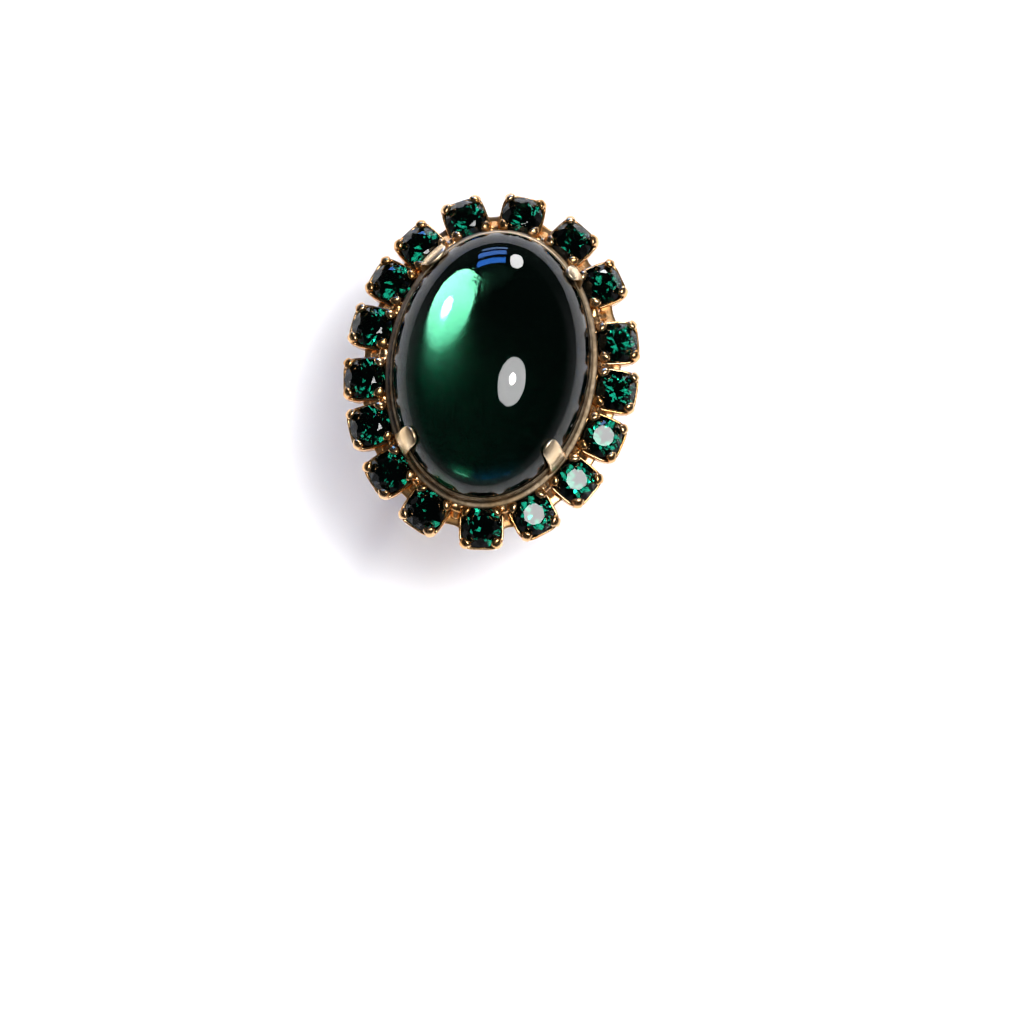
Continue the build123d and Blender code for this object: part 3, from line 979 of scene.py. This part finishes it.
@dataclass
class SmallCup:
    """Stamped rounded-square cup with four bead-tipped prongs, for one round stone."""

    chaton: Chaton
    columns: int = 96
    wall: float = 0.26
    floor: float = 0.3
    flat_power: float = 4.0  # squareness of the wall's outline
    corner_lift: float = 0.55  # how much higher the rim stands at its corners
    corner_width: float = 0.24  # half angle of a corner's lift, in radians
    prong_rows: int = 26
    prong_columns: int = 16
    bead: tuple[float, float] = (0.53, 0.29)  # half width and half thickness at a prong's tip
    neck: tuple[float, float] = (0.4, 0.22)  # the same below it
    skin: float = 0.1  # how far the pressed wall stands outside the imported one

    def __post_init__(self) -> None:
        """Reads the cup's sizes from the first packed cup."""
        station = Station.read(CHATON_NUMBERS[0])
        local = station.to_local(node_points(f"stone_cup_{CHATON_NUMBERS[0]}"))
        across = np.abs(local[:, 0])
        self.half = float(across.max())
        self.rim = float(local[across > self.half - 0.02, 2].max())
        self.foot_half = float(across[local[:, 2] < 0.02].max()) + self.skin
        self.half += self.skin

    def wall_surface(self, rng: np.random.Generator) -> Surface:
        """The cup's wall and floor.

        The outline is a superellipse whose half size grows from foot to rim. Its rim height
        adds a bell curve at each corner, where the metal rises into a prong.
        """
        turn = around(self.columns)
        side, front = rounded(turn, self.flat_power)
        outline = np.stack([side, front], axis=-1)
        diagonal = np.abs((turn % (math.pi / 2)) - math.pi / 4)
        bell = np.exp(-((diagonal / self.corner_width) ** 2))
        lift = self.corner_lift * bell
        rim = self.rim + lift + 0.02 * np.sin(2 * turn + rng.uniform(0, FULL_TURN))
        share = np.array([0.0, 0.03, 0.10, 0.3, 0.5, 0.7, 0.86, 0.95, 1.0, 1.0, 0.96, 0.8, 0.5, 0.25, 0.12])
        inset = np.array(
            [0.16, 0.05, 0.0, 0.0, 0.0, 0.0, 0.0, 0.01, 0.06, 0.2, 0.25, 0.26, 0.27, 0.28, 0.4]
        ) * (self.wall / 0.26)
        belly = 0.03 * np.sin(np.clip(share, 0, 1) * math.pi)
        half = self.foot_half + (self.half - self.foot_half) * share - inset + belly
        height = np.outer(share, rim)
        height[-1] = self.floor
        surface = grid(lifted(outline[None, :, :] * half[:, None, None], height))
        inner = np.concatenate([np.repeat(np.arange(len(share)), self.columns), [0, len(share) - 1]])
        # Painted shade: strong inside the cup, and outside darker towards the foot.
        low = np.clip(1.0 - surface.points[:, 2] / (0.75 * self.rim), 0.0, 1.0)
        return surface.with_painted_shade(np.where(inner > 9, 0.9, 0.85 * low))

    def prong(self, x_side: int, y_side: int, rng: np.random.Generator) -> Surface:
        """One prong: a flat bar carried up a corner and bent in over the girdle.

        Its path is a smooth curve in the upright plane through the corner. Its section is a
        superellipse that swells by a bell curve near the tip and closes there roundly.
        """
        reach = self.chaton.radius
        top = self.chaton.girdle_high
        corners = np.array(
            [
                (reach + 0.28, 0.35 * self.rim),
                (reach + 0.42, 0.80 * self.rim),
                (reach + 0.47, top - 0.02),
                (reach + 0.35, top + 0.30),
                (reach + 0.08, top + 0.42 + rng.uniform(-0.04, 0.04)),
                (reach - 0.26 + rng.uniform(-0.08, 0.06), top + 0.46),
            ]
        )
        path = smooth_path(corners, self.prong_rows)
        share = np.linspace(0.0, 1.0, self.prong_rows)
        tangent = unit(np.gradient(path, axis=0))
        normal = np.stack([tangent[:, 1], -tangent[:, 0]], axis=-1)
        swell = np.exp(-(((share - 0.84) / 0.17) ** 2))
        cap = np.sqrt(np.clip(1.0 - ramp(share, 0.82, 0.18) ** 2.4, 0.004, 1.0))
        size = cap * rng.uniform(0.92, 1.08)
        half_width, half_thick = (
            size * (neck + (bead - neck) * swell) for neck, bead in zip(self.neck, self.bead)
        )
        side, face = rounded(around(self.prong_columns), 2.5)
        out = path[:, None, :] + normal[:, None, :] * np.outer(half_thick, face)[..., None]
        lean = rng.uniform(-0.1, 0.1) * share[:, None] ** 2
        width = np.outer(half_width, side) + lean
        direction = np.array([x_side, y_side]) / math.sqrt(2)
        sideways = np.array([-direction[1], direction[0]])
        plan = out[..., :1] * direction + width[..., None] * sideways
        surface = grid(np.concatenate([plan, out[..., 1:]], axis=-1))
        # Painted shade, darker down the prong below the rim.
        return surface.with_painted_shade(np.clip((self.rim - surface.points[:, 2]) / self.rim, 0.0, 0.8))

    def metal(self, index: int) -> Surface:
        """Wall and prongs of one cup; each cup's small differences come from its own seed."""
        rng = np.random.default_rng(100 + index)
        parts = [self.wall_surface(rng)]
        parts += [self.prong(x_side, y_side, rng) for x_side in (-1, 1) for y_side in (-1, 1)]
        return join(parts)


@dataclass
class Halo:
    """The chain of stone cups round the large cup, with the links between them."""

    link_width: float = 1.4
    link_thickness: float = 0.34
    link_sink: float = 0.35  # how far a link runs into each cup's wall
    link_rows: int = 28
    link_columns: int = 24
    join_side: float = 1.55  # how far from a cup's axis a join meets it, each way

    def __post_init__(self) -> None:
        """Reads every station and the sizes of a stone and its cup."""
        self.stations = [Station.read(number) for number in CHATON_NUMBERS]
        self.chaton = Chaton()
        self.cup = SmallCup(self.chaton)

    def turned(self, surface: Surface, degrees: float) -> Surface:
        """A surface turned about its station's own axis."""
        cosine, sine = math.cos(math.radians(degrees)), math.sin(math.radians(degrees))
        spin = np.array([[cosine, sine, 0], [-sine, cosine, 0], [0, 0, 1]])
        return Surface(surface.points @ spin, surface.faces, surface.values)

    def link(self, index: int) -> Surface:
        """One link: a flat bar between two cups, waisted in the middle.

        Its width is the full one at both ends and falls by a cosine to four fifths between
        them. Each section is a superellipse.
        """
        number = CHATON_NUMBERS[index]
        points = node_points(f"chain_link_{number}")
        first = self.stations[index]
        second = self.stations[(index + 1) % len(self.stations)]
        along = unit(second.origin - first.origin)
        up = first.up + second.up
        up = unit(up - along * float(up @ along))
        across = np.cross(up, along)
        centre = points.mean(axis=0)
        reach = np.abs((points - centre) @ along).max() + self.link_sink
        station = np.linspace(-1.0, 1.0, self.link_rows)
        waist = 0.9 + 0.1 * np.cos(station * FULL_TURN / 2 + math.pi)
        side, face = rounded(around(self.link_columns), 4.0)
        span = (points - centre) @ across
        middle = (span.max() + span.min()) / 2
        bar = (
            centre
            + along * (reach * station)[:, None, None]
            + across * (middle + self.link_width / 2 * np.outer(waist, side))[..., None]
            + up * (self.link_thickness / 2 * face)[None, :, None]
        )
        # Painted shade, even over the link, which lies low between the cups.
        return grid(bar).with_painted_shade(0.25)

    def bar(self, corners: Array, sizes: Array, up: Array) -> Surface:
        """A lump of solder run along a path: an oval section carried along a smooth curve.

        Args:
            corners: array (n, 3) of points that the curve goes through.
            sizes: array (n, 2) of half width and half height there.
            up: direction of the half height.

        Returns:
            The closed surface.
        """
        path = smooth_path(np.concatenate([corners, sizes], axis=1), 18)
        points, half = path[:, :3], path[:, 3:]
        tangent = unit(np.gradient(points, axis=0))
        across = unit(np.cross(up, tangent))
        over = np.cross(tangent, across)
        turn = around(14)
        share = np.linspace(-1.0, 1.0, len(points))
        close = np.sqrt(np.clip(1.0 - np.abs(share) ** 6, 0.01, 1.0))[:, None]
        skin = (
            points[:, None, :]
            + across[:, None, :] * (half[:, :1] * close * np.cos(turn))[..., None]
            + over[:, None, :] * (half[:, 1:] * close * np.sin(turn))[..., None]
        )
        return grid(skin)

    def join_metal(self, index: int) -> Surface:
        """Solder between two neighbouring cups, on the side of the large cup.

        A bar sags from one cup's inner prong to the next, pressed towards the large cup, and a
        stem runs from its middle down to the link.
        """
        rng = np.random.default_rng(300 + index)
        first = self.stations[index]
        second = self.stations[(index + 1) % len(self.stations)]
        height = self.chaton.girdle_high + rng.uniform(-0.25, 0.0)
        side = self.join_side
        for sign in (1, -1):  # the inner prongs that face each other are the nearer pair
            left = first.to_ring(np.array([sign * side, -side, height]))
            right = second.to_ring(np.array([-sign * side, -side, height]))
            if np.linalg.norm(left - right) <= np.linalg.norm(first.origin - second.origin):
                break
        up = unit(first.up + second.up)
        inward = -unit(first.outward + second.outward)
        middle = (left + right) / 2 + inward * 0.22 - up * rng.uniform(0.2, 0.35)
        sag = np.stack([left, (left + middle) / 2, middle, (right + middle) / 2, right])
        sizes = np.array([(0.32, 0.24), (0.46, 0.32), (0.6, 0.36), (0.46, 0.32), (0.32, 0.24)])
        bar = self.bar(sag, sizes * rng.uniform(0.9, 1.12), up)
        link = node_points(f"chain_link_{CHATON_NUMBERS[index]}").mean(axis=0)
        drop = np.stack([middle + up * 0.1, (middle + link) / 2 - inward * 0.1, link])
        stem = self.bar(drop, np.array([(0.55, 0.4), (0.5, 0.42), (0.55, 0.5)]), -inward)
        # A little painted shade, even over the solder between the cups.
        return join([bar, stem]).with_painted_shade(0.12)

    def build(self, gold: bpy.types.Material, glass: bpy.types.Material, foil: bpy.types.Material) -> None:
        """Makes every cup, stone, foil coat, link and join."""
        rng = np.random.default_rng(7)
        for index, (number, station) in enumerate(zip(CHATON_NUMBERS, self.stations)):
            degrees = float(rng.uniform(-14.0, 14.0))
            cup = make_piece(f"halo_cup_{number}", self.cup.metal(index).moved(station))
            dress(cup, gold, replaces=(f"stone_cup_{number}",))
            stone = self.turned(self.chaton.glass(), degrees).moved(station)
            stone = make_piece(f"halo_stone_{number}", stone, smooth=False)
            dress(stone, glass, replaces=(f"rhinestone_{number}",))
            coat = self.turned(self.chaton.foil(), degrees).moved(station)
            dress(make_piece(f"halo_stone_foil_{number}", coat, smooth=False), foil)
            link = make_piece(f"halo_link_{number}", self.link(index))
            dress(link, gold, replaces=(f"chain_link_{number}",))
            dress(make_piece(f"halo_join_{number}", self.join_metal(index)), gold)


# ---- Under the head ------------------------------------------------------------------------


@dataclass
class Shank:
    """Adjustable flat band: a soldered bridge, and two halves that bend at the shoulders."""

    rows: int = 120
    columns: int = 40
    half_start: float = 18.0  # where each half comes out from under the bridge, degrees
    bridge_reach: float = 24.0
    bridge_proud: float = 0.05
    bend_spread: float = 26.0  # angle between the two points either side of a half's bend, degrees
    end_round: float = 1.3
    pad_half: float = 2.6  # half length of the solder pad round the band
    pad_inset: float = 0.35  # how far the pad stops short of the band's edges

    def __post_init__(self) -> None:
        """Reads the band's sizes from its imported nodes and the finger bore."""
        mount = next(m for m in frame["record"]["mounts"] if m["name"] == "finger_bore")
        self.inner = mount["dims"]["r_mm"]
        arm = node_points("shank_arm_right")
        radius = np.hypot(arm[:, 0], arm[:, 2])
        self.outer = float(np.percentile(radius, 99))
        self.width_top = float(mount["dims"]["length_mm"])
        lowest = arm[arm[:, 2] < arm[:, 2].min() + 0.3]
        self.width_end = float(np.abs(lowest[:, 1]).max() * 2)
        tip = arm[(arm[:, 2] < -0.9 * self.inner)]
        self.end_turn = math.degrees(math.atan2(tip[:, 0].min(), -self.inner))
        joint = next(j for j in frame["record"]["behaviour"]["joints"] if j["name"] == "right_arm_bend")
        self.bend_turn = math.degrees(math.atan2(joint["pos_m"][0], joint["pos_m"][2]))

    def strip(self, start: float, end: float, proud: float, round_start: bool) -> Surface:
        """A stretch of band: a rounded flat section carried round the finger axis.

        The section is a superellipse, a little fuller outside. Its width falls evenly with
        height from shoulder to end, and closes in a half ellipse at a rounded end.
        """
        turn = np.radians(start + (end - start) * np.linspace(0.0, 1.0, self.rows))
        middle = (self.inner + self.outer) / 2
        length = (turn - turn[0]) * middle
        left = (turn[-1] - turn) * middle
        closing = np.minimum(left / self.end_round, 1.0)
        if round_start:
            closing = np.minimum(closing, length / self.end_round)
        close = np.sqrt(np.clip(1.0 - (1.0 - closing) ** 2.4, 0.0006, 1.0))
        fall = (1.0 - np.cos(turn)) / 2.0
        half_width = (self.width_top + (self.width_end - self.width_top) * fall) / 2 * close
        half_thick = ((self.outer - self.inner) / 2 + proud) * (0.55 + 0.45 * close)
        side, face = rounded(around(self.columns), 3.6)
        crown = 1.0 - 0.16 * side**2 * (face > 0)
        radius = middle + np.outer(half_thick, face * crown)
        sine, cosine = np.sin(turn)[:, None], np.cos(turn)[:, None]
        surface = grid(np.stack([radius * sine, np.outer(half_width, side), radius * cosine], axis=-1))
        # Painted shade on the inner face of the band.
        from_axis = np.hypot(surface.points[:, 0], surface.points[:, 2])
        return surface.with_painted_shade(np.where(from_axis < middle, 0.25, 0.0))

    def saddle(self) -> Surface:
        """Solder pad between bridge and back plate: a block that flares into both."""
        top = node_box("shank_bridge")[1][2]
        bottom = self.inner + 0.3 * (self.outer - self.inner)
        side, front = rounded(around(72), 6.0)
        share = np.array([0.0, 0.35, 0.6, 0.8, 0.92, 1.0])
        height = bottom + (top + 0.02 - bottom) * share
        flare = np.array([0.0, 0.0, 0.05, 0.16, 0.3, 0.5])
        half_y = self.width_top / 2 - self.pad_inset
        plan = np.stack([np.outer(self.pad_half + flare, side), np.outer(half_y + flare, front)], axis=-1)
        # Painted shade, even over the pad between bridge and back plate.
        return grid(lifted(plan, height[:, None])).with_painted_shade(0.55)

    def build(self, gold: bpy.types.Material) -> None:
        """Makes the bridge with its pad, and the two halves."""
        strap = self.strip(-self.bridge_reach, self.bridge_reach, self.bridge_proud, True)
        bridge = join([strap, self.saddle()])
        dress(make_piece("shank_bridge_strap", bridge), gold, replaces=("shank_bridge",))
        middle = (self.inner + self.outer) / 2
        for side, body in ((-1, Body.ARM_LEFT), (1, Body.ARM_RIGHT)):
            node = body.value.replace("arm", "shank_arm")
            half = self.strip(self.half_start, self.end_turn, 0.0, False)
            half.points[:, 0] *= side
            piece = make_piece(f"{node}_strap", half.outward())
            dress(piece, gold, body=None, replaces=(node,))
            turns = (math.radians(self.bend_turn + way * self.bend_spread / 2) for way in (-1, 1))
            ends = [
                (side * middle * math.sin(turn) * MM, 0.0, middle * math.cos(turn) * MM) for turn in turns
            ]
            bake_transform(piece)


@dataclass
class Undercarriage:
    """The pierced back plate and gallery collar, kept as packed and given their metal."""

    nodes: tuple[str, ...] = ("back_plate", "gallery_collar")

    def build(self, gold: bpy.types.Material) -> None:
        """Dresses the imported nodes."""
        for name in self.nodes:
            node = frame["nodes"][name]
            node.data.materials.clear()
            node.data.materials.append(gold)
            log.info("node %s keeps its packed shape", name)


# ---- Studio --------------------------------------------------------------------------------


class LampShape(Enum):
    """Outline of a lamp's face, with the share of its box that the outline fills."""

    SQUARE = ("RECTANGLE", 1.0)
    ROUND = ("ELLIPSE", math.pi / 4)


@dataclass(frozen=True)
class Lamp:
    """One flat studio lamp, aimed at the ring's head.

    It lies in a direction from the head, given in the ring's axes.
    """

    name: str
    direction: tuple[float, float, float]
    distance: float  # metres
    size: tuple[float, float]  # metres
    radiance: float  # how bright its face is against white
    colour: str = "#ffffff"
    shape: LampShape = LampShape.SQUARE
    card_only: bool = False  # whether it lights the floor card and nothing else

    def build(self, aim: Vector, card: bpy.types.Collection) -> None:
        """Makes the lamp; its power is its radiance times its area times pi.

        Args:
            aim: the point it faces.
            card: the collection that holds the floor card.
        """
        outline, filled = self.shape.value
        light = bpy.data.lights.new(self.name, "AREA")
        light.shape = outline
        light.size, light.size_y = self.size
        light.energy = self.radiance * math.pi * self.size[0] * self.size[1] * filled
        light.color = linear(self.colour)[:3]
        lamp = bpy.data.objects.new(self.name, light)
        bpy.context.scene.collection.objects.link(lamp)
        away = Vector(self.direction).normalized()
        lamp.location = aim + away * self.distance
        lamp.rotation_euler = (-away).to_track_quat("-Z", "Y").to_euler()
        lamp.visible_camera = False
        if self.card_only:
            lamp.light_linking.receiver_collection = card


@dataclass
class Studio:
    """White card floor, dim room, soft lamps and the camera."""

    azimuth: float = 10.0
    elevation: float = 76.2
    roll: float = 7.5  # how far the ring leans clockwise in the picture
    distance: float = 0.35
    focal: float = 131.0
    sensor: float = 36.0
    centre: tuple[float, float] = (0.4800, 0.6404)  # of the head in the picture, from lower left
    floor_size: float = 3.0
    floor_gap: float = 0.5  # room under the band for its halves bent open, mm
    pale: tuple[float, float, float] = (0.28, 0.28, 0.295)  # the near horizon, linear
    dark: tuple[float, float, float] = (0.012, 0.013, 0.015)  # overhead and far side, linear
    dim_up: tuple[float, float, float] = (0.02, 0.35, 1.0)  # Z where it dims, where it has, how far
    dim_behind: tuple[float, float, float] = (0.2, 0.75, 0.9)  # the same for Y
    lamps: tuple[Lamp, ...] = (
        Lamp("umbrella", (0.285, 0.035, 0.957), 0.60, (0.222, 0.228), 10.5, shape=LampShape.ROUND),
        Lamp("umbrella_bulb", (0.285, 0.06, 0.956), 0.57, (0.05, 0.05), 60.0, shape=LampShape.ROUND),
        Lamp("blind_low", (-0.17, 0.96, 0.17), 0.9, (0.28, 0.05), 5.0, "#8fb8ff"),
        Lamp("blind_middle", (-0.19, 0.93, 0.29), 0.9, (0.32, 0.09), 8.0, "#5c96ff"),
        Lamp("blind_high", (-0.19, 0.87, 0.44), 0.9, (0.32, 0.09), 10.0, "#408cff"),
        Lamp("window", (0.125, 0.905, 0.40), 0.85, (0.15, 0.24), 17.0, shape=LampShape.ROUND),
        Lamp("card_wash", (0.1, -0.15, 1.0), 1.6, (1.6, 1.6), 2.8, card_only=True),
    )

    def floor(self, level: float) -> bpy.types.Collection:
        """A flat card under the ring, and the collection that holds it."""
        half = self.floor_size / 2 / MM
        corners = np.array([(-half, -half), (half, -half), (half, half), (-half, half)])
        points = np.concatenate([corners, np.full((4, 1), level / MM)], axis=1)
        card = make_piece("floor_card", Surface(points, [np.array([[0, 1, 2, 3]])]), smooth=False)
        card.data.materials.append(PaperFloor().build())
        holder = bpy.data.collections.new("card")
        holder.objects.link(card)
        return holder

    def room(self) -> None:
        """A dim room: dark overhead and at the far side, paler towards the near horizon."""
        world = bpy.data.worlds.new("room")
        world.use_nodes = True
        bpy.context.scene.world = world
        tree = world.node_tree
        tree.nodes.clear()
        way = add(tree, "TexCoord", "Generated")
        high, behind = (
            add(
                tree,
                "MapRange",
                "Result",
                {
                    "Value": add(tree, "SeparateXYZ", axis, {"Vector": way}),
                    "From Min": start,
                    "From Max": end,
                    "To Max": most,
                },
            )
            for axis, start, end, most in (("Z", *self.dim_up), ("Y", *self.dim_behind))
        )
        share = add(tree, "Math", "Value", {0: high, 1: behind}, operation="MAXIMUM")
        both = {"Factor": share, "A": (*self.pale, 1.0), "B": (*self.dark, 1.0)}
        colour = add(tree, "Mix", "Result", both, data_type="RGBA")
        sky = add(tree, "Background", "Background", {"Color": colour, "Strength": 1.0})
        add(tree, "OutputWorld", None, {"Surface": sky})

    def camera(self, aim: Vector) -> None:
        """Looks down on the head from the fingertip side's opposite, with the head off centre.

        The camera first looks straight at the head. It is then turned by the two small angles
        that put the head at its place in the picture.
        """
        azimuth, elevation = math.radians(self.azimuth), math.radians(self.elevation)
        level = math.cos(elevation)
        away = Vector((math.sin(azimuth) * level, -math.cos(azimuth) * level, math.sin(elevation)))
        lean = math.radians(self.roll)
        upright = Vector((-math.sin(lean), math.cos(lean), 0.0))
        upright = (upright - away * upright.dot(away)).normalized()
        right = upright.cross(away)
        scale = self.sensor / self.focal
        shift_x, shift_y = ((part - 0.5) * scale for part in self.centre)
        back = (away + right * shift_x + upright * shift_y).normalized()
        upright = (upright - back * upright.dot(back)).normalized()
        right = upright.cross(back)
        data = bpy.data.cameras.new("camera")
        data.lens = self.focal
        data.sensor_width = self.sensor
        data.clip_start = 0.01
        camera = bpy.data.objects.new("camera", data)
        bpy.context.scene.collection.objects.link(camera)
        place = aim + away * self.distance
        turned = Matrix((right, upright, back)).transposed().to_4x4()
        camera.matrix_world = Matrix.Translation(place) @ turned
        bpy.context.scene.camera = camera

    def build(self) -> None:
        """Makes floor, room, lamps and camera."""
        aim = Vector((0.0, 0.0, float(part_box("cabochon_cup")[0].z)))
        card = self.floor(CAD_BOX[0][2] - self.floor_gap * MM)
        self.room()
        for lamp in self.lamps:
            lamp.build(aim, card)
        self.camera(aim)
        bpy.context.scene.view_settings.view_transform = "Standard"


def main() -> None:
    """Builds the ring from the stones down, then the studio."""
    logging.basicConfig(level=logging.INFO, format="%(message)s")
    gold = GoldPlate("rose gold plate, tumbled", "#f4c896", "#e3a966", "#5a3412").build()
    # Paler plate for the large cup and its claws, brightened further as a painted highlight of the white
    # light they reflect.
    cup_gold = GoldPlate(
        "pale gold plate, painted highlight", "#ffe6c2", "#f0cfa0", "#3f2a15", roughness=(0.26, 0.46), patch=3.0
    ).build()
    cabochon_glass = ColouredGlass("moulded green glass, fire polished", 1.5, "#3fb094", 305.0).build()
    chaton_glass = ColouredGlass(
        "cut emerald glass, wheel polished", 1.57, "#10c4b8", 1400.0, haze=(0.0, 0.012), smudge=1.2
    ).build()
    foil_name = "green lacquered foil, pressed"
    cabochon_foil = BackFoil(
        foil_name, "#eefaf2", "#3a9484", (0.02, 0.27), 0.28, 0.3, patch=4.5, damp=(5.2, -2.0)
    ).build()
    chaton_foil = BackFoil("silvered back, lacquered", "#f2f6f2", "#cfe0d4", (0.02, 0.1), 0.4, 0.03).build()
    stone = Cabochon()
    stone.build(cabochon_glass, cabochon_foil)
    LargeCup(stone).build(cup_gold)
    Halo().build(gold, chaton_glass, chaton_foil)
    Shank().build(gold)
    Undercarriage().build(gold)
    Studio().build()


if __name__ == "__main__":
    main()
